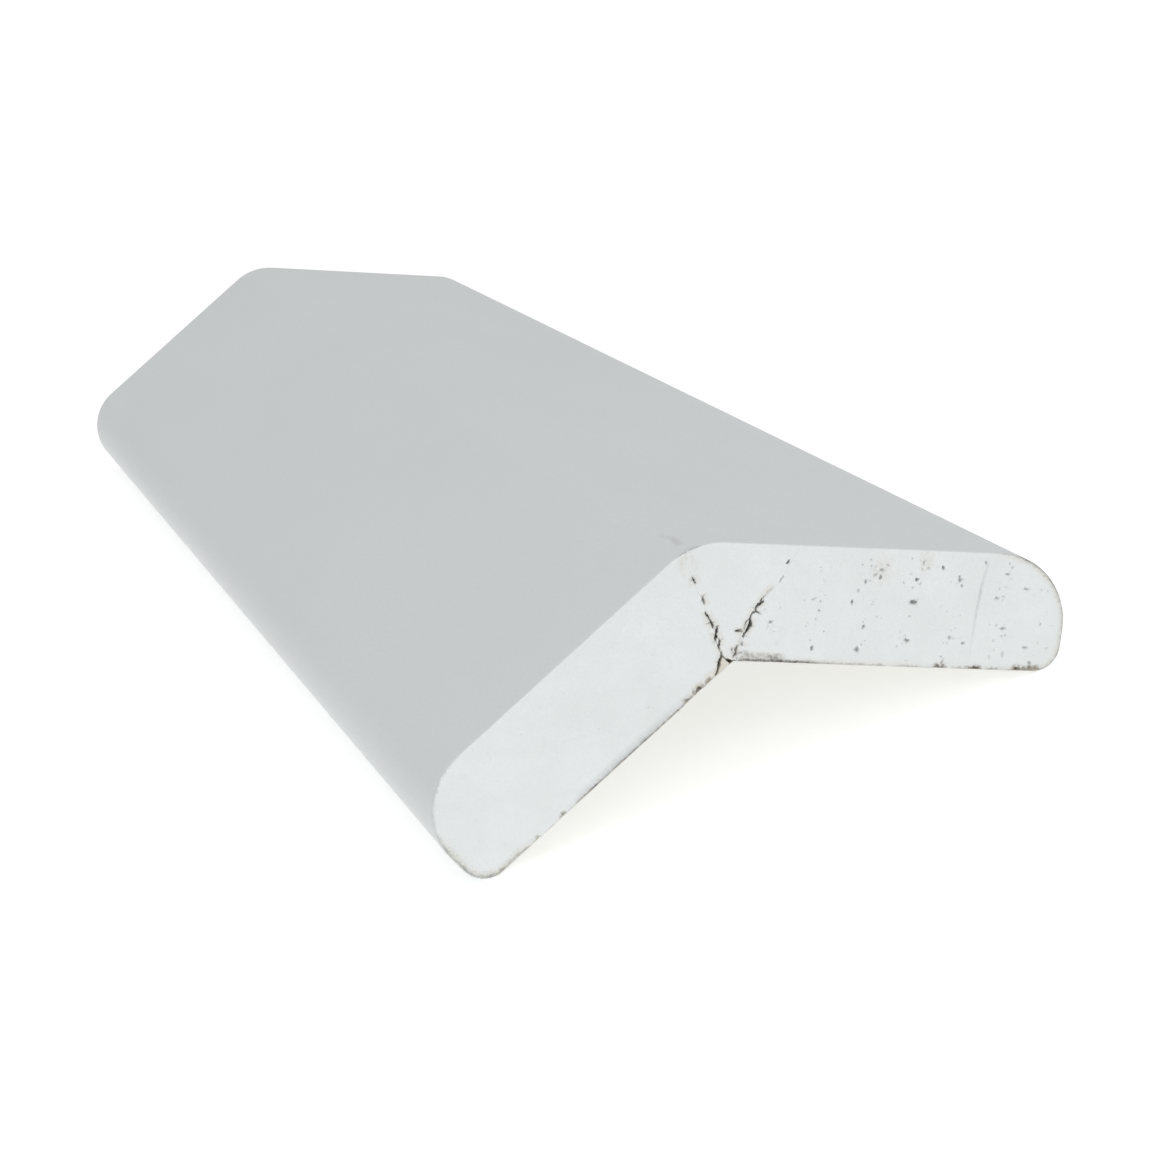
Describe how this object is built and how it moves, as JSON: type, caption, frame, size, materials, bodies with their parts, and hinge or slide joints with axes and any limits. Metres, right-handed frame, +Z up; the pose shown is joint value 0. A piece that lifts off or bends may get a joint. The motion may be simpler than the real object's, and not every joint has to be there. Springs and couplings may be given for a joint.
{
  "type": "outside corner moulding",
  "caption": "Length of outside corner moulding in white-primed wood for an obtuse wall corner: flat legs, rounded edges, soft ridge, square-cut ends.",
  "frame": {"origin": "middle of the moulding's footprint, on the surface under the back edges of its legs", "axes": "+Y along the moulding's length, +Z up through the ridge, +X across the legs"},
  "size_m": [0.099, 0.475, 0.0356],
  "materials": {
    "primed_wood": "white primer over pine, satin"
  },
  "bodies": {
    "root": {"left_leg": "primed_wood", "corner_wedge": "primed_wood", "right_leg": "primed_wood"}
  },
  "joints": []
}
